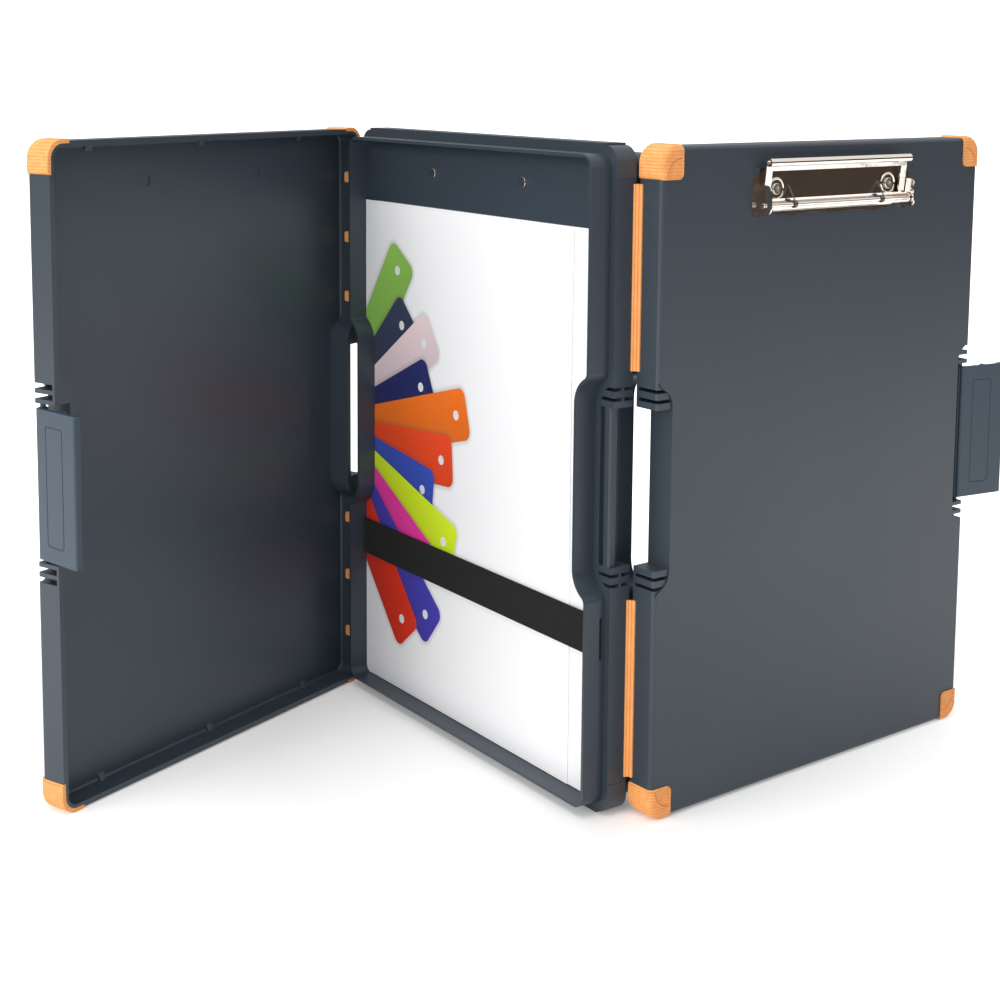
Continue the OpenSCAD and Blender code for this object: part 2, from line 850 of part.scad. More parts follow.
// Two torsion springs: three turns round the rod and one leg that bears on the base plate
module clip_springs() {
    coil_r = rod_r + rod_clear + spring_wire_r + 0.05;
    turn = 2 * spring_wire_r + 0.02;
    leg_foot = [1.5, clip_t + spring_wire_r];
    leg_top = [rod_z + 1, rod_out + coil_r - 0.2];
    run = leg_foot - leg_top;
    color(clip_steel)
        for (side = [-1, 1]) translate([side * spring_at, 0, 0]) {
            for (k = [-1, 0, 1])
                translate([k * turn, -rod_out, rod_z]) rotate([0, 90, 0])
                    rotate_extrude() translate([coil_r, 0]) circle(spring_wire_r + 0.02);
            translate([side * turn, -leg_top.y, leg_top.x])
                rotate([atan2(run.y, run.x), 0, 0])
                    cylinder(r = spring_wire_r, h = norm(run));
        }
}

// Tubular rivets with a rolled eyelet on the clip and a low head behind the board
module clip_rivets(board_t) {
    head_t = 0.8;
    bore_r = 1.1;
    color(clip_steel)
        rivet_places() rotate([90, 0, 0]) rotate_extrude() difference() {
            union() {
                translate([0, -board_t - head_t]) square([rivet_r, board_t + head_t + clip_t]);
                translate([0, -board_t - head_t]) square([eyelet_r, head_t]);
                translate([0, clip_t]) square([eyelet_r - head_t / 2, head_t]);
                translate([eyelet_r - head_t / 2, clip_t + head_t / 2]) circle(head_t / 2);
            }
            translate([0, -board_t / 2]) square([bore_r, board_t + clip_t + head_t]);
        }
}

// ---------------------------------------------------------------- contents

// Front of the compartment's floor less a number of sheets
module at_layer(layer) {
    translate([0, -half_band - layer_gap - layer * sheet_t, 0])
        upright(0, sheet_t - layer_gap)
            children();
}

// Printed card, cut to the outline of the compartment on its left
module sheet_top() {
    color(paper_white)
        at_layer(2)
            intersection() {
                translate([rim_in - half_w, well_z + sheet_fit]) square([sheet_w, sheet_h]);
                translate([0, mid_z]) rim_outline(rim_wall + sheet_fit, well_corner_r);
            }
}

// Loose sheets behind the card, clear of both notches and fanned to the right
module loose_sheet(layer, step) {
    color(paper_white)
        at_layer(layer)
            translate([rim_in + notch_d + sheet_fit - half_w + step * sheet_fan,
                       well_z + sheet_fit])
                square([sheet_w, sheet_h]);
}

module elastic_strap() {
    gap = 0.2;
    color(strap_black)
        translate([-half_w + rim_inset, -half_band - 3 * sheet_t - 2 * gap - strap_t,
                   strap_z - strap_w / 2])
            cube([case_w - 2 * rim_inset, strap_t, strap_w]);
}

// ---------------------------------------------------------------- nodes

module front_bumper_hinge_top() at_front_cover() bumper(0, 1);
module front_bumper_hinge_bottom() at_front_cover() bumper(0, -1);
module front_bumper_free_top() at_front_cover() bumper(1, 1);
module front_bumper_free_bottom() at_front_cover() bumper(1, -1);
module rear_bumper_hinge_top() at_rear_cover() bumper(0, 1);
module rear_bumper_hinge_bottom() at_rear_cover() bumper(0, -1);
module rear_bumper_free_top() at_rear_cover() bumper(1, 1);
module rear_bumper_free_bottom() at_rear_cover() bumper(1, -1);
module front_hinge_tray_leaf_top() at_tray_hinge(false) tray_leaf(1);
module front_hinge_tray_leaf_bottom() at_tray_hinge(false) tray_leaf(-1);
module front_hinge_cover_leaf_top() at_front_cover() cover_leaf(1);
module front_hinge_cover_leaf_bottom() at_front_cover() cover_leaf(-1);
module rear_hinge_tray_leaf_top() at_tray_hinge(true) tray_leaf(1);
module rear_hinge_tray_leaf_bottom() at_tray_hinge(true) tray_leaf(-1);
module rear_hinge_cover_leaf_top() at_rear_cover() cover_leaf(1);
module rear_hinge_cover_leaf_bottom() at_rear_cover() cover_leaf(-1);
module front_latch() at_front_cover() at_latch(front_latch_open) latch();
module rear_latch() at_rear_cover() at_latch(rear_latch_open) latch();
module outer_clip_base() at_outer_clip() clip_base(outer_rise);
module outer_clip_lever() at_outer_clip() clip_lever(outer_rise);
module outer_clip_rod() at_outer_clip() clip_rod();
module outer_clip_springs() at_outer_clip() clip_springs();
module outer_clip_rivets() at_outer_clip() clip_rivets(cover_floor);
module inner_clip_base() at_inner_clip() clip_base(inner_rise);
module inner_clip_lever() at_inner_clip() clip_lever(inner_rise);
module inner_clip_rod() at_inner_clip() clip_rod();
module inner_clip_springs() at_inner_clip() clip_springs();
module inner_clip_rivets() at_inner_clip() clip_rivets(divider_t);
module sheet_middle() loose_sheet(1, 1);
module sheet_bottom() loose_sheet(0, 2);

tray();
front_cover();
rear_cover();
front_bumper_hinge_top();
front_bumper_hinge_bottom();
front_bumper_free_top();
front_bumper_free_bottom();
rear_bumper_hinge_top();
rear_bumper_hinge_bottom();
rear_bumper_free_top();
rear_bumper_free_bottom();
front_hinge_tray_leaf_top();
front_hinge_tray_leaf_bottom();
front_hinge_cover_leaf_top();
front_hinge_cover_leaf_bottom();
rear_hinge_tray_leaf_top();
rear_hinge_tray_leaf_bottom();
rear_hinge_cover_leaf_top();
rear_hinge_cover_leaf_bottom();
front_latch();
rear_latch();
outer_clip_base();
outer_clip_lever();
outer_clip_rod();
outer_clip_springs();
outer_clip_rivets();
inner_clip_base();
inner_clip_lever();
inner_clip_rod();
inner_clip_springs();
inner_clip_rivets();
sheet_top();
sheet_middle();
sheet_bottom();
elastic_strap();
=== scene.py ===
# %% [markdown]
# # Two-sided clipboard storage case
#
# The real object is a moulded plastic case for A4 paper: a tray that is open on both faces,
# a hinged shell cover on each face, soft corner bumpers, side latches and two spring clips.
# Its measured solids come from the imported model, and this lesson gives them their looks:
# rounded edges, moulded plastic, rubber, nickel-plated steel, paper and woven elastic.

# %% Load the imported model
import json
import math
import bmesh
import bpy
from mathutils import Matrix, Vector

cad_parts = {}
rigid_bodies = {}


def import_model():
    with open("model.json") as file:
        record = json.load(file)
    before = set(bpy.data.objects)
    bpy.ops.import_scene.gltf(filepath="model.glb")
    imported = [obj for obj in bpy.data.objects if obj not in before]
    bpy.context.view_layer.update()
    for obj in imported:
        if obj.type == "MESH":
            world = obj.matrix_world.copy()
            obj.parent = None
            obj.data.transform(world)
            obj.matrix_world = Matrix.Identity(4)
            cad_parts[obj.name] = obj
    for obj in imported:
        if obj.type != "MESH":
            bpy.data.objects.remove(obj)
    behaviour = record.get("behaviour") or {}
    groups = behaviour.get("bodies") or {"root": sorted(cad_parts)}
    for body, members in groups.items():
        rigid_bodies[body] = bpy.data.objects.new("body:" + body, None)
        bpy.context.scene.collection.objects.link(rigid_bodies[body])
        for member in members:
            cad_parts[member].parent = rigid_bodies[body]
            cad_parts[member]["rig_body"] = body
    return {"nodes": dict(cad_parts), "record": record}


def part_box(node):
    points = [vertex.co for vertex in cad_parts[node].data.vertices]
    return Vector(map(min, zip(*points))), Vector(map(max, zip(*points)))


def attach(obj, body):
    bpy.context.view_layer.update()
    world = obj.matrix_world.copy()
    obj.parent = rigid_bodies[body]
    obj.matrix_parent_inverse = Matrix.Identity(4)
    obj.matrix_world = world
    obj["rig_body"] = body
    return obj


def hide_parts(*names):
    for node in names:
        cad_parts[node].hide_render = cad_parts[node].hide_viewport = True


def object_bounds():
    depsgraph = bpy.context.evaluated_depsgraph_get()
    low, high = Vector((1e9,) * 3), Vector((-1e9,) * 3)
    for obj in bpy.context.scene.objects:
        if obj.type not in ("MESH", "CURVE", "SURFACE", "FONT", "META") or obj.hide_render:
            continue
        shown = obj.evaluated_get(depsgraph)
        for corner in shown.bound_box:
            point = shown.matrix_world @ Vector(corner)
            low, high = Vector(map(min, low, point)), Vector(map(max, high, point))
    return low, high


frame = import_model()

cad_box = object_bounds()

# %% [markdown]
# ## The camera
#
# A product camera stands to the right of the open case, a little above it, and looks almost
# level. The verticals stay nearly upright because the picture is framed with the lens
# shifted down instead of the camera being tipped. The lens is given through its focal length
# in picture widths, which is what perspective depends on.

# %% Place the camera
IMAGE = 1000
FOCAL = 1717.1
SENSOR = 36.0
OPTICAL_ROW = 280
camera_place = Vector((0.78617, -0.53678, 0.38501))
yaw, tilt_down, roll = (math.radians(a) for a in (55.17, 7.07, 0.47))

lens = bpy.data.cameras.new("camera")
lens.sensor_width = SENSOR
lens.lens = SENSOR * FOCAL / IMAGE
lens.shift_y = OPTICAL_ROW / IMAGE - 0.5
lens.clip_start, lens.clip_end = 0.05, 60
camera = bpy.data.objects.new("camera", lens)
bpy.context.scene.collection.objects.link(camera)
aim = (Matrix.Rotation(yaw, 4, "Z") @ Matrix.Rotation(math.pi / 2 - tilt_down, 4, "X")
       @ Matrix.Rotation(roll, 4, "Z"))
camera.matrix_world = Matrix.Translation(camera_place) @ aim
bpy.context.scene.camera = camera
bpy.context.scene.view_settings.view_transform = "Standard"
print("lens", round(lens.lens, 1), "mm, shift", round(lens.shift_y, 3))

# %% [markdown]
# ## Shader maths as plain expressions
#
# A node tree is hard to read as a list of links. One small class wraps an output socket and
# takes the ordinary operators, so that `1 - mask * depth` adds the Math nodes by itself.
# Every other node comes from one method: its settings first, then the values of its inputs.
#
# Coordinates are in metres, so the scale of a noise is roughly its number of spots in a
# metre. A noise seldom leaves the range from 0.3 to 0.7. The pairs of numbers called SPAN
# below say which part of it is stretched over the whole of a change.

# %% A socket that can be added and multiplied
class Signal:
    def __init__(self, tree, socket):
        self.tree, self.socket = tree, socket

    def math(self, operation, first, *rest):
        return self.tree.math(operation, first, *rest)

    def __add__(self, other): return self.math("ADD", self, other)
    def __radd__(self, other): return self.math("ADD", other, self)
    def __sub__(self, other): return self.math("SUBTRACT", self, other)
    def __rsub__(self, other): return self.math("SUBTRACT", other, self)
    def __mul__(self, other): return self.math("MULTIPLY", self, other)
    def __rmul__(self, other): return self.math("MULTIPLY", other, self)
    def __abs__(self): return self.math("ABSOLUTE", self)
    def over(self, other): return self.math("MAXIMUM", self, other)
    def under(self, other): return self.math("MINIMUM", self, other)
    def below(self, other): return self.math("LESS_THAN", self, other)


print("signals take +, -, * and abs, and have over, under and below")


# %% A material and its nodes
class Finish:
    def __init__(self, name, **constants):
        self.material = bpy.data.materials.new(name)
        self.material.use_nodes = True
        self.nodes = self.material.node_tree.nodes
        self.links = self.material.node_tree.links
        self.shader = self.nodes["Principled BSDF"]
        for socket, value in constants.items():
            self.give(self.shader.inputs[socket.replace("_", " ")], value)

    def give(self, socket, value):
        if isinstance(value, Signal):
            self.links.new(value.socket, socket)
        elif socket.type == "RGBA" and len(value) == 3:
            socket.default_value = (*value, 1)
        else:
            socket.default_value = value

    def node(self, kind, settings, *values, out=0, **named):
        made = self.nodes.new(kind)
        for key, value in settings.items():
            setattr(made, key, value)
        for socket, value in zip(made.inputs, values):
            if value is not None:
                self.give(socket, value)
        for key, value in named.items():
            self.give(made.inputs[key.replace("_", " ")], value)
        return Signal(self, made.outputs[out])

    def math(self, operation, *values):
        return self.node("ShaderNodeMath", {"operation": operation}, *values)

    def feed(self, socket, value):
        self.give(self.shader.inputs[socket], value)

    def place(self):
        """Object coordinates, which are metres in the case's own frame."""
        return self.node("ShaderNodeTexCoord", {}, out="Object")

    def axes(self, vector):
        split = self.node("ShaderNodeSeparateXYZ", {}, vector)
        return [Signal(self, socket) for socket in split.socket.node.outputs]

    def blend(self, factor, low, high):
        made = self.nodes.new("ShaderNodeMix")
        made.data_type = "RGBA"
        for socket, value in ((0, factor), (6, low), (7, high)):
            self.give(made.inputs[socket], value)
        return Signal(self, made.outputs[2])

    def noise(self, vector, scale, detail=2.0, roughness=0.5):
        return self.node("ShaderNodeTexNoise", {}, Vector=vector, Scale=scale,
                         Detail=detail, Roughness=roughness)

    def spread(self, value, low, high, start=0.0, end=1.0):
        """Value from start to end, as it goes from low to high."""
        return self.node("ShaderNodeMapRange", {}, value, low, high, start, end)

    def relief(self, height, depth):
        """Sends a height from 0 to 1 to the shader's normal, with its depth in metres."""
        bump = self.node("ShaderNodeBump", {}, Strength=1.0, Distance=depth, Height=height)
        self.feed("Normal", bump)


SCREEN_FULL, SCREEN_LIFT, SCREEN_GAMMA = 255, 0.055, 2.4


def srgb(*levels):
    """A colour as it is seen on a screen, in levels up to 255, turned into light."""
    return tuple(((level / SCREEN_FULL + SCREEN_LIFT) / (1 + SCREEN_LIFT)) ** SCREEN_GAMMA
                 for level in levels)


print("shader helpers are ready; middle grey is", round(srgb(128)[0], 3), "in light")

# %% [markdown]
# ## The moulded plastics
#
# The tray and covers are one dark slate plastic. Its mould was spark-eroded, which leaves a
# fine, even grain that breaks the gloss into a soft sheen. Two things are drawn: the grain,
# as a very shallow bump, and the faint unevenness of the gloss over a hand's breadth, which
# comes from handling. The latch plates are the same plastic, a little bluer and smoother.

# %% Slate plastic
HANDLED, GRAINS = 14, 1100
TONE_SPAN, GLOSS_SPAN = (0.35, 0.65), (0.3, 0.7)
SHELL_GRAIN, LATCH_GRAIN = 0.00003, 0.00002
SATIN = 0.38
SATIN_LOW, SATIN_HIGH, GRAIN_SHARE = SATIN - 0.01, SATIN + 0.015, 0.06
SLATE, SLATE_DARK = srgb(51, 61, 71), srgb(50, 60, 70)
BLUE_SLATE, BLUE_SLATE_DARK = srgb(45, 63, 78), srgb(44, 61, 75)


def slate_plastic(name, colour, darker, grain_depth):
    finish = Finish(name, Specular_IOR_Level=0.5)
    place = finish.place()
    cloud = finish.noise(place, HANDLED, 3)
    grain = finish.noise(place, GRAINS, 3, 0.6)
    finish.feed("Base Color", finish.blend(finish.spread(cloud, *TONE_SPAN), colour, darker))
    finish.feed("Roughness", finish.spread(cloud, *GLOSS_SPAN, SATIN_LOW, SATIN_HIGH)
                + grain * GRAIN_SHARE)
    finish.relief(grain, grain_depth)
    return finish.material


shell_finish = slate_plastic("slate_shell", SLATE, SLATE_DARK, SHELL_GRAIN)
latch_finish = slate_plastic("slate_latch", BLUE_SLATE, BLUE_SLATE_DARK, LATCH_GRAIN)
print("two slate plastics")

# %% [markdown]
# ## The rubber and the hinge strips
#
# The bumpers are soft orange rubber, pushed over the corners. Fine mould lines run round
# them, level on the sides, and the rubber is matt; their grooves get a painted shade of deeper
# orange. The hinge strips are a smoother orange plastic. The rubber is thin where it wraps an
# edge, so a little light goes into it.

# %% Orange rubber and orange strip
ORANGE = srgb(255, 180, 112)
DEEP_ORANGE = srgb(243, 150, 72)
TURN = 2 * math.pi
MOULD_LINE, LINE_WANDER, GROOVE_DEPTH = 0.0017, 0.00015, 0.0002
LINE_SPAN, DUST_SPAN, WIDE_SPAN = (-1, -0.2), (0.35, 0.7), (0.2, 0.8)
WANDERS, DUSTS, STRIP_DUSTS = 90, 260, 180
DUST_SHARE, STRIP_WEAR = 0.5, 0.4
LIGHT_REACH = (0.004, 0.002, 0.001)
RUBBER_ROUGH, STRIP_ROUGH = (0.5, 0.62), (0.36, 0.46)


def orange_rubber():
    finish = Finish("orange_rubber", Subsurface_Weight=0.15, Subsurface_Radius=LIGHT_REACH,
                    Subsurface_Scale=0.4, Specular_IOR_Level=0.3)
    place = finish.place()
    height = finish.axes(place)[2]
    wander = finish.noise(place, WANDERS, 2)
    line = finish.math("SINE", (height + wander * LINE_WANDER) * (TURN / MOULD_LINE))
    dust = finish.noise(place, DUSTS, 3)
    groove = finish.spread(line, *LINE_SPAN, 1, 0)
    # The deeper orange follows random dust, and in the mould-line grooves it is painted shade.
    deep_orange_share = finish.spread(dust, *DUST_SPAN) * DUST_SHARE + groove * (1 - DUST_SHARE)
    finish.feed("Base Color", finish.blend(deep_orange_share, ORANGE, DEEP_ORANGE))
    finish.feed("Roughness", finish.spread(dust, *WIDE_SPAN, *RUBBER_ROUGH))
    finish.relief(1 - groove, GROOVE_DEPTH)
    return finish.material


def orange_strip():
    finish = Finish("orange_strip", Specular_IOR_Level=0.4)
    dust = finish.noise(finish.place(), STRIP_DUSTS, 2)
    deep_orange_share = finish.spread(dust, *GLOSS_SPAN) * STRIP_WEAR
    finish.feed("Base Color", finish.blend(deep_orange_share, ORANGE, DEEP_ORANGE))
    finish.feed("Roughness", finish.spread(dust, *WIDE_SPAN, *STRIP_ROUGH))
    return finish.material


rubber_finish, strip_finish = orange_rubber(), orange_strip()
print("two orange finishes")

# %% [markdown]
# ## The plated steel
#
# The clips are pressed from sheet steel and nickel-plated. Plating over pressed sheet is a
# mirror with a slight waviness, and the rubbed edges are a touch rougher. The rivets and
# springs are the same metal with less polish.

# %% Nickel plate
DENTS, SMEARS = 70, 420
SMEAR_SPAN, RUBBED = (0.3, 0.75), 0.07


def plated_steel(name, colour, rough, dent_depth):
    finish = Finish(name, Metallic=1.0, Base_Color=colour)
    place = finish.place()
    wave = finish.noise(place, DENTS, 2)
    smear = finish.noise(place, SMEARS, 3)
    finish.feed("Roughness", finish.spread(smear, *SMEAR_SPAN, rough, rough + RUBBED))
    finish.relief(wave, dent_depth)
    return finish.material


clip_finish = plated_steel("nickel_plate", srgb(228, 220, 212), rough=0.08, dent_depth=0.0002)
rivet_finish = plated_steel("nickel_rivet", srgb(222, 216, 208), rough=0.18, dent_depth=0.0001)
wire_finish = plated_steel("spring_steel", srgb(104, 98, 92), rough=0.3, dent_depth=0.00005)
print("three steel finishes")

# %% [markdown]
# ## Rounding the moulded edges
#
# A CAD solid has edges of no radius, and no moulding has: each edge catches a thin line of
# light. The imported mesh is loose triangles, so a copy is welded, its flat faces are joined
# up again, and a Bevel modifier rounds what is sharper than its limit. A Weighted Normal
# modifier after it keeps the large faces evenly lit. The copy then stands for the packed
# piece.

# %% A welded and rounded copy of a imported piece
WELD = 2e-6
FLAT, SMOOTH = math.radians(0.6), math.radians(32)


def welded_mesh(node):
    mesh = frame["nodes"][node].data.copy()
    shape = bmesh.new()
    shape.from_mesh(mesh)
    bmesh.ops.remove_doubles(shape, verts=shape.verts, dist=WELD)
    bmesh.ops.dissolve_limit(shape, angle_limit=FLAT, verts=shape.verts, edges=shape.edges,
                             use_dissolve_boundaries=False)
    shape.to_mesh(mesh)
    shape.free()
    mesh.materials.clear()
    return mesh


def piece(name, mesh, finish, body):
    made = bpy.data.objects.new(name, mesh)
    bpy.context.scene.collection.objects.link(made)
    mesh.materials.clear()
    mesh.materials.append(finish)
    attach(made, body)
    return made


def rounded_copy(node, finish, radius, segments=2):
    mesh = welded_mesh(node)
    body = frame["nodes"][node]["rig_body"]
    made = piece(node + "_form", mesh, finish, body)
    if radius:
        edge = made.modifiers.new("rounded edges", "BEVEL")
        edge.width = radius
        edge.segments = segments
        edge.limit_method = "ANGLE"
        edge.angle_limit = SMOOTH
        edge.use_clamp_overlap = True
        edge.miter_outer = "MITER_ARC"
        level = made.modifiers.new("flat faces stay flat", "WEIGHTED_NORMAL")
        level.keep_sharp = True
    mesh.shade_smooth()
    if not radius:
        mesh.set_sharp_from_angle(angle=SMOOTH)
    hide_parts(node)
    return made


print("edges sharper than", round(math.degrees(SMOOTH)), "degrees get a radius")

# %% The moulded pieces
SHELL_EDGE, LATCH_EDGE, RUBBER_EDGE, STRIP_EDGE = 0.0004, 0.00035, 0.0005, 0.00015

for node in ("tray", "front_cover", "rear_cover"):
    rounded_copy(node, shell_finish, SHELL_EDGE)
for node in ("front_latch", "rear_latch"):
    rounded_copy(node, latch_finish, LATCH_EDGE)
bumpers = [node for node in frame["nodes"] if "_bumper_" in node]
for node in bumpers:
    rounded_copy(node, rubber_finish, RUBBER_EDGE, segments=3)
strips = [node for node in frame["nodes"] if "_leaf_" in node]
for node in strips:
    rounded_copy(node, strip_finish, STRIP_EDGE)
print(len(bumpers), "bumpers and", len(strips), "hinge leaves are rounded")

# %% [markdown]
# ## Small lugs inside the covers
#
# Three lugs stand in the corner of the panel along each long inside edge, and stiffen it
# where the tray's rim comes down. Each is a block whose free corner is drawn in close to the
# wall and the floor, so that the rim has room beside it when the cover is shut. They are
# made in the cover's own directions: along from the hinge, deep from the open side, and up.

# %% Corner lugs
LUG_PLACES = (0.0425, 0.1265, 0.2105)
LUG_LONG, LUG_TALL, LUG_DEEP = 0.0046, 0.0040, 0.0034
LUG_EDGE, LUG_SUNK, RIM_ROOM = 0.0003, 0.0003, 0.0012
COVER_FLOOR_DEPTH = 0.0140
COVER_UNDER, COVER_WALL = 0.001, 0.003


def cover_directions(side, face):
    """The hinge point, and the directions along and into a cover as it stands open."""
    joints = frame["record"]["behaviour"]["joints"]
    hinge = next(j for j in joints if j["name"] == side + "_cover_hinge")
    turn = Matrix.Rotation(-math.radians(max(hinge["range_deg"])), 3, "Z")
    return Vector(hinge["pos_m"]), turn @ Vector((face, 0, 0)), turn @ Vector((0, -face, 0))


def corner_lugs(side, face):
    hinge, along, deep = cover_directions(side, face)
    low, high = (corner.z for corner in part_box("tray"))
    inset = COVER_UNDER + COVER_WALL
    shape = bmesh.new()
    for wall, up in ((low + inset, 1), (high - inset, -1)):
        for place in LUG_PLACES:
            for vert in bmesh.ops.create_cube(shape, size=1)["verts"]:
                across, into, tall = vert.co
                into, tall = into + 0.5, tall + 0.5
                if into < 0.5 and tall > 0.5:
                    into, tall = 1 - RIM_ROOM / LUG_DEEP, RIM_ROOM / LUG_TALL
                spot = hinge + along * (place + across * LUG_LONG)
                spot += deep * (COVER_FLOOR_DEPTH - LUG_DEEP * (1 - into))
                vert.co = (spot.x, spot.y, wall + up * (tall * LUG_TALL - LUG_SUNK))
    bmesh.ops.bevel(shape, geom=shape.edges[:], offset=LUG_EDGE, segments=2, profile=0.5,
                    affect="EDGES", material=-1)
    bmesh.ops.recalc_face_normals(shape, faces=shape.faces)
    mesh = bpy.data.meshes.new(side + "_cover_lugs")
    shape.to_mesh(mesh)
    shape.free()
    piece(side + "_cover_lugs", mesh, shell_finish, side + "_cover")
    mesh.shade_smooth()
    mesh.set_sharp_from_angle(angle=SMOOTH)


for side, face in (("front", 1), ("rear", -1)):
    corner_lugs(side, face)
print(2 * 2 * len(LUG_PLACES), "corner lugs")

# %% [markdown]
# ## The spring clips
#
# Each clip is a pressed base under two rivets, a lever with rolled edges, the rod it turns
# on and a pair of coiled springs. The sheet's edges are rolled off in the press, so they get
# a small radius. The springs are already round wire, and only their shading is smoothed.

# %% The two spring clips
STEEL_EDGE = 0.0002

for clip in ("outer_clip", "inner_clip"):
    for part in ("base", "lever", "rod"):
        rounded_copy(f"{clip}_{part}", clip_finish, STEEL_EDGE)
    rounded_copy(f"{clip}_springs", wire_finish, 0)
    rounded_copy(f"{clip}_rivets", rivet_finish, STEEL_EDGE)
print("two spring clips, each with a base, lever, rod, springs and rivets")

# %% [markdown]
# ## The printed card and the loose sheets
#
# Paper never lies dead flat: damp and handling give it a slow wave, and its free edge lifts
# a little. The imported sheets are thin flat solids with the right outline, so each is cut
# into bands by bisect_plane and its points are pushed out of the plane by a smooth formula.
# The strap and the clip hold the paper down, and there the push is nothing.

# %% Sheets with a slow wave
BAND = 0.009
CUT_CLOSE = 1e-6
LIFT, WAVE = 0.0006, 0.00012
WAVE_ACROSS, WAVE_UP = 48, 21
STRAP_REACH, CLIP_REACH, LIFT_FROM = 0.05, 0.06, 0.7
strap_box, clip_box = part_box("elastic_strap"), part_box("inner_clip_base")


def eased(value, low, high):
    share = min(max((value - low) / (high - low), 0), 1)
    return share * share * (3 - 2 * share)


def slow_wave(point, left, right):
    loose = eased(point.z, strap_box[1].z, strap_box[1].z + STRAP_REACH)
    loose *= 1 - eased(point.z, clip_box[0].z - CLIP_REACH, clip_box[0].z)
    edge = eased(point.x, left + LIFT_FROM * (right - left), right)
    ripple = math.sin(point.x * WAVE_ACROSS + point.z * WAVE_UP)
    return loose * (edge * LIFT + WAVE * (1 + ripple) / 2)


def waved_sheet(node, finish):
    low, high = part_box(node)
    shape = bmesh.new()
    shape.from_mesh(welded_mesh(node))
    for axis, normal in ((0, Vector((1, 0, 0))), (2, Vector((0, 0, 1)))):
        cuts = int((high[axis] - low[axis]) / BAND)
        for cut in range(1, cuts):
            whole = shape.verts[:] + shape.edges[:] + shape.faces[:]
            spot = normal * (low[axis] + cut * BAND)
            bmesh.ops.bisect_plane(shape, geom=whole, plane_co=spot, plane_no=normal,
                                   dist=CUT_CLOSE)
    for vert in shape.verts:
        vert.co.y -= slow_wave(vert.co, low.x, high.x)
    mesh = bpy.data.meshes.new(node + "_paper")
    shape.to_mesh(mesh)
    shape.free()
    sheet = piece(node + "_paper", mesh, finish, "tray")
    mesh.shade_smooth()
    mesh.set_sharp_from_angle(angle=SMOOTH)
    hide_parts(node)
    return sheet


print("paper waves by", WAVE * 1000, "mm and lifts by", LIFT * 1000, "mm at its free edge")

# %% Plain paper
PAPER_WHITE, PAPER_SHADE = srgb(249, 249, 250), srgb(243, 243, 243)
FIBRES, FIBRE_DEPTH, PAPER_ROUGH = 1600, 0.00002, (0.72, 0.86)
CLOUDS, CLOUD_SHARE = 60, 0.4


def plain_paper():
    finish = Finish("plain_paper", Specular_IOR_Level=0.2)
    place = finish.place()
    fibre = finish.noise(place, FIBRES, 4, 0.7)
    cloud = finish.noise(place, CLOUDS, 2)
    finish.feed("Base Color", finish.blend(cloud * CLOUD_SHARE, PAPER_WHITE, PAPER_SHADE))
    finish.feed("Roughness", finish.spread(fibre, *GLOSS_SPAN, *PAPER_ROUGH))
    finish.relief(fibre, FIBRE_DEPTH)
    return finish.material


paper_finish = plain_paper()
print("plain paper")

# %% [markdown]
# ## A fan of colour strips
#
# The card's print is a bright fan of rounded colour strips that comes in from the left edge
# and leaves the rest of the card white. Each strip is one rounded box in its own turned
# coordinates. It is painted over the one before it, and a soft rim round its outline darkens
# what lies below, which reads as a stack of thick cards. Each strip has a white eyelet.

# %% Strip colours and places
FAN_PIVOT = (-0.158, 0.150)
STRIP_HALF, STRIP_ROUND = 0.0150, 0.006
SHADOW_REACH, SHADOW_SHARE = 0.003, 0.3
EYELET_IN, EYELET_RADIUS = 0.012, 0.0028
DEEP_SHADOW, EYELET_WHITE = srgb(60, 52, 72), srgb(236, 236, 240)
DIM_SIDE = 0.9
COLOUR_STRIPS = (
    (56, 0.150, (150, 205, 92)), (45, 0.128, (58, 66, 92)), (35, 0.142, (244, 222, 226)),
    (25, 0.126, (38, 44, 104)), (15, 0.158, (255, 122, 32)), (4, 0.138, (248, 78, 34)),
    (-7, 0.118, (60, 84, 190)), (-17, 0.146, (222, 248, 38)), (-28, 0.126, (246, 62, 168)),
    (-39, 0.152, (74, 66, 182)), (-50, 0.140, (232, 54, 26)),
)
print(len(COLOUR_STRIPS), "strips turn", COLOUR_STRIPS[0][0] - COLOUR_STRIPS[-1][0], "degrees")

# %% The shape of a strip
def distance(finish, first, second):
    return finish.math("POWER", first * first + second * second, 0.5)


def strip_shape(finish, x, z, turn, reach):
    """How far a point lies across the strip, outside its rounded box, and from its eyelet."""
    lean = math.radians(turn)
    across, up = x - FAN_PIVOT[0], z - FAN_PIVOT[1]
    along = across * math.cos(lean) + up * math.sin(lean)
    side = up * math.cos(lean) - across * math.sin(lean)
    over_end = (along - (reach - STRIP_ROUND)).over(0)
    over_side = (abs(side) - (STRIP_HALF - STRIP_ROUND)).over(0)
    eyelet = distance(finish, along - (reach - EYELET_IN), side)
    return side, distance(finish, over_end, over_side), eyelet


print("each strip is", 2000 * STRIP_HALF, "mm wide with corners of", 1000 * STRIP_ROUND, "mm")

# %% The printed card
SPECKS, SPECK_SPAN, SPECK_SHARE = 900, (0.62, 0.66), 0.1
VARNISH = 0.25
CARD_GRAIN, CARD_GRAIN_DEPTH = 1400, 0.00001


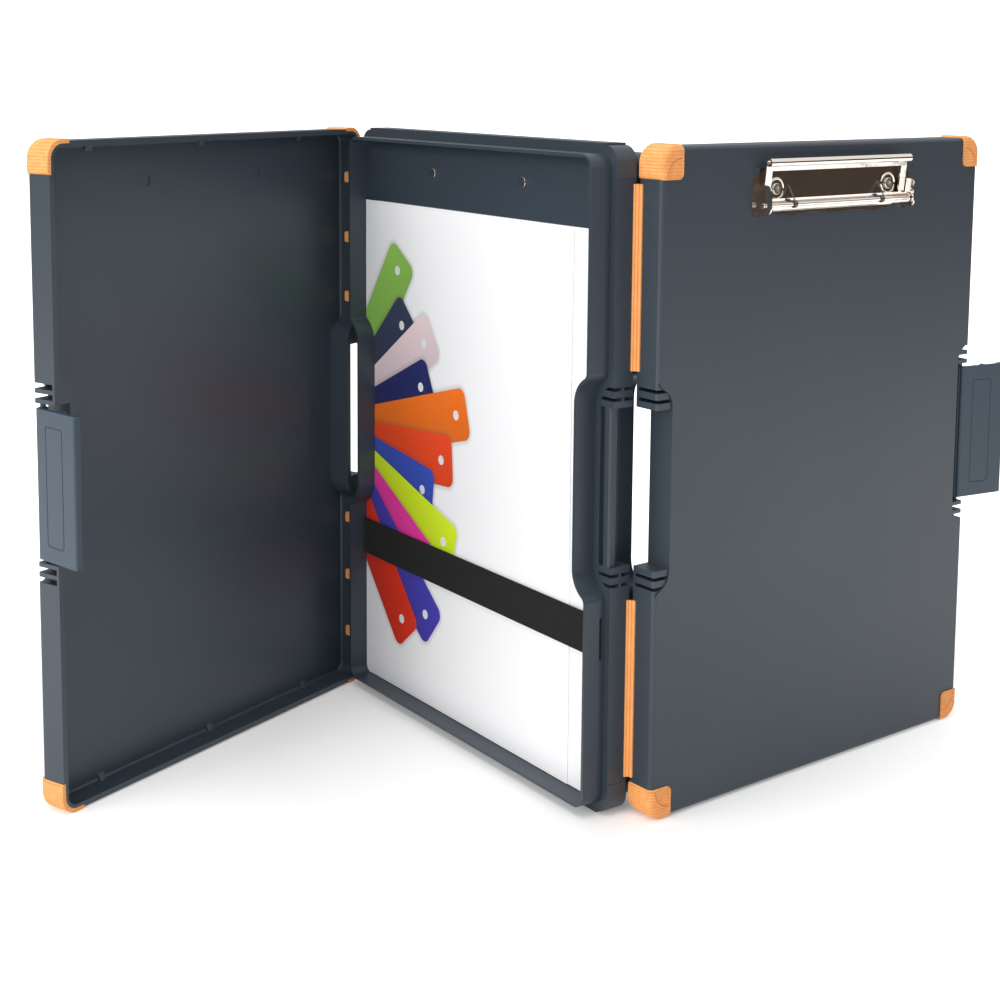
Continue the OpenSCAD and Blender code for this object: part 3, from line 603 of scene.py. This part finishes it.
def print_finish():
    finish = Finish("card_print", Roughness=0.5, Specular_IOR_Level=0.3, Coat_Roughness=0.25)
    place = finish.place()
    x, _, z = finish.axes(place)
    colour, printed = PAPER_WHITE, 0.0
    for turn, reach, tint in COLOUR_STRIPS:
        side, edge, eyelet = strip_shape(finish, x, z, turn, reach)
        shade = finish.spread(edge, STRIP_ROUND, STRIP_ROUND + SHADOW_REACH, SHADOW_SHARE, 0)
        colour = finish.blend(shade, colour, DEEP_SHADOW)
        light = finish.spread(side, -STRIP_HALF, STRIP_HALF)
        body = finish.blend(light, srgb(*(DIM_SIDE * level for level in tint)), srgb(*tint))
        inside = edge.below(STRIP_ROUND)
        colour = finish.blend(inside, colour, body)
        colour = finish.blend(eyelet.below(EYELET_RADIUS), colour, EYELET_WHITE)
        printed = inside.over(printed)
    speckle = finish.noise(place, SPECKS, 2, 0.7)
    dust = finish.spread(speckle, *SPECK_SPAN) * printed * SPECK_SHARE
    finish.feed("Base Color", finish.blend(dust, colour, PAPER_WHITE))
    finish.feed("Coat Weight", printed * VARNISH)
    finish.relief(finish.noise(place, CARD_GRAIN, 2), CARD_GRAIN_DEPTH)
    return finish.material


card_finish = print_finish()
print("the card's print has", len(card_finish.node_tree.nodes), "nodes")

# %% Lay the sheets
waved_sheet("sheet_top", card_finish)
for node in ("sheet_middle", "sheet_bottom"):
    waved_sheet(node, paper_finish)
print("a card printed with", len(COLOUR_STRIPS), "colour strips, and two loose sheets")

# %% [markdown]
# ## The elastic strap
#
# The strap is woven elastic, 22 mm wide: rubber cores run along it under a black polyester
# weave. The cores show as shallow ribs, which are real geometry here: a grid whose points
# are pushed out by a row of half waves, thickened by a Solidify modifier. The weave itself
# is finer than a point and goes into the material as short slanted stitches.

# %% Ribbed elastic
RIBS, RIB_DEPTH = 9, 0.00016
STITCH, STITCH_SLANT, STITCH_DEPTH = 0.0009, 0.5, 0.00012
THREAD_WANDERS, FLECKS, FLECK_SHARE = 500, 950, 0.55
ELASTIC_BLACK, ELASTIC_GREY = srgb(6, 6, 6), srgb(34, 32, 30)
DULL, RUBBED_DULL = 0.9, 0.72


def woven_elastic():
    finish = Finish("woven_elastic", Specular_IOR_Level=0.2, Sheen_Weight=0.05,
                    Sheen_Roughness=0.5)
    place = finish.place()
    x, _, z = finish.axes(place)
    wander = finish.noise(place, THREAD_WANDERS, 2) * 0.5
    slant = z * STITCH_SLANT
    weft = finish.math("SINE", (x + slant) * (TURN / STITCH) + wander)
    warp = finish.math("SINE", (x - slant) * (TURN / STITCH) + wander)
    thread = (weft.over(warp) + 1) * 0.5
    fleck = finish.noise(place, FLECKS, 2, 0.7)
    tone = thread * (1 - FLECK_SHARE) + finish.spread(fleck, *DUST_SPAN) * FLECK_SHARE
    finish.feed("Base Color", finish.blend(tone, ELASTIC_BLACK, ELASTIC_GREY))
    finish.feed("Roughness", finish.spread(thread, 0, 1, DULL, RUBBED_DULL))
    finish.relief(thread, STITCH_DEPTH)
    return finish.material


def ribbed_strap():
    low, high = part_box("elastic_strap")
    wide, middle = high.z - low.z, (low + high) / 2
    thick = high.y - low.y - RIB_DEPTH
    turn = Matrix.Rotation(math.pi / 2, 4, "X")
    fit = Matrix.Diagonal((high.x - low.x, 1, wide, 1))
    shape = bmesh.new()
    bmesh.ops.create_grid(shape, x_segments=40, y_segments=RIBS * 6, size=0.5,
                          matrix=Matrix.Translation((middle.x, low.y, middle.z)) @ fit @ turn)
    for vert in shape.verts:
        rib = abs(math.sin(math.pi * RIBS * (vert.co.z - low.z) / wide))
        vert.co.y += RIB_DEPTH * (1 - rib)
    mesh = bpy.data.meshes.new("strap")
    shape.to_mesh(mesh)
    shape.free()
    strap = piece("ribbed_strap", mesh, woven_elastic(), "tray")
    body = strap.modifiers.new("thickness", "SOLIDIFY")
    body.thickness, body.offset = thick, -1
    mesh.shade_smooth()
    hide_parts("elastic_strap")
    print("elastic strap", round(wide * 1000), "mm wide with", RIBS, "ribs")


ribbed_strap()

# %% [markdown]
# ## The studio
#
# Product light is broad and soft. A pale world lights the case from all round, one large
# softbox hangs over it, one stands square in front of the board and one further to the
# right, where the open cover doesn't shade it. The floor and the world look white to the
# camera and in reflections, which comes from their own material and not from more light on
# the case. The floor keeps the case's soft shadow, and its glow is weaker near the case,
# which paints a soft shade in a disc round it.

# %% World and floor
def seen_directly(tree):
    """1 where the camera, a reflection or a refraction looks, and 0 for the light itself."""
    path = tree.node("ShaderNodeLightPath", {})
    outs = path.socket.node.outputs
    camera_ray, glossy, through = (Signal(tree, outs[k]) for k in
                                   ("Is Camera Ray", "Is Glossy Ray", "Is Transmission Ray"))
    return (camera_ray + glossy + through).under(1)


class WorldTree(Finish):
    def __init__(self, name):
        self.world = bpy.data.worlds.new(name)
        self.world.use_nodes = True
        self.nodes = self.world.node_tree.nodes
        self.links = self.world.node_tree.links
        self.shader = self.nodes["Background"]


WORLD_LIGHT = 0.7
WHITE, BLACK = (1, 1, 1), (0, 0, 0)
FLOOR_SIZE, FLOOR_PAINT = 20, (0.88, 0.88, 0.88)
FLOOR_GLOW, FADE_NEAR, FADE_FAR = 0.16, 0.12, 0.70

sky = WorldTree("studio_world")
bpy.context.scene.world = sky.world
sky.feed("Color", WHITE)
sky.feed("Strength", seen_directly(sky) * (1 - WORLD_LIGHT) + WORLD_LIGHT)

floor_low = cad_box[0].z
shape = bmesh.new()
bmesh.ops.create_grid(shape, x_segments=1, y_segments=1, size=FLOOR_SIZE,
                      matrix=Matrix.Translation((0, 0, floor_low)))
floor_mesh = bpy.data.meshes.new("floor")
shape.to_mesh(floor_mesh)
shape.free()
floor = bpy.data.objects.new("floor", floor_mesh)
bpy.context.scene.collection.objects.link(floor)
paint = Finish("floor_paint", Base_Color=FLOOR_PAINT, Roughness=1.0,
               Specular_IOR_Level=0.0, Emission_Color=WHITE)
away = paint.node("ShaderNodeVectorMath", {"operation": "LENGTH"}, paint.place(), out="Value")
# The glow rises from FLOOR_GLOW near the case to full white far off; the weaker glow near the
# case is a painted shade round it.
painted_shade_falloff = paint.spread(away, FADE_NEAR, FADE_FAR)
paint.feed("Emission Strength", seen_directly(paint) * (FLOOR_GLOW + painted_shade_falloff * (1 - FLOOR_GLOW)))
floor_mesh.materials.append(paint.material)
print("white floor at", round(floor_low * 1000, 1), "mm")

# %% Softboxes
SOFTBOXES = (
    ("overhead_softbox", (0.2, -0.6, 2.2), (0, 0, 0.1), (1.6, 1.6), 16),
    ("left_softbox", (-0.2, -2.2, 0.9), (0.05, 0, 0.17), (1.2, 1.6), 12),
    ("front_softbox", (0.7, -2.3, 0.9), (0, -0.05, 0.15), (1.2, 1.2), 17),
)


def softbox(name, place, target, size, watts):
    lamp = bpy.data.lights.new(name, "AREA")
    lamp.shape = "RECTANGLE"
    lamp.size, lamp.size_y = size
    lamp.energy = watts
    holder = bpy.data.objects.new(name, lamp)
    bpy.context.scene.collection.objects.link(holder)
    place, target = Vector(place), Vector(target)
    holder.rotation_euler = (target - place).to_track_quat("-Z", "Y").to_euler()
    holder.location = place


for name, place, target, size, watts in SOFTBOXES:
    softbox(name, place, target, size, watts)
print(len(SOFTBOXES), "softboxes")

# %% [markdown]
# ## A dark curtain for the chrome
#
# Bright metal shows what stands around it, and in a white studio it turns into a white
# shape on white. A photographer hangs a dark cloth where the flat of the metal looks and
# leaves white above and below it, so that the pressed rims and rolls draw bright lines. The
# cloth here goes all the way round, so the clips read the same from every side. Only
# reflections see it: it throws no shadow and hides nothing.

# %% The curtain
CURTAIN_RADIUS, CURTAIN_LOW, CURTAIN_TOP = 2.0, 0.0, 0.8
CURTAIN_FOLDS = 48
CURTAIN_CLOTH = srgb(72, 62, 54)


def curtain():
    shape = bmesh.new()
    foot = shape.verts.new((CURTAIN_RADIUS, 0, CURTAIN_LOW))
    head = shape.verts.new((CURTAIN_RADIUS, 0, CURTAIN_TOP))
    hem = shape.edges.new((foot, head))
    bmesh.ops.spin(shape, geom=[foot, head, hem], cent=(0, 0, 0), axis=(0, 0, 1),
                   angle=TURN, steps=CURTAIN_FOLDS, use_merge=True)
    mesh = bpy.data.meshes.new("curtain")
    shape.to_mesh(mesh)
    shape.free()
    cloth = bpy.data.objects.new("curtain", mesh)
    bpy.context.scene.collection.objects.link(cloth)
    cloth.visible_camera = cloth.visible_diffuse = cloth.visible_shadow = False
    cloth.visible_transmission = False
    weave = Finish("curtain_cloth", Base_Color=BLACK, Roughness=1.0, Specular_IOR_Level=0.0,
                   Emission_Color=CURTAIN_CLOTH, Emission_Strength=1.0)
    mesh.materials.append(weave.material)


curtain()
print("one curtain, seen by reflections only")
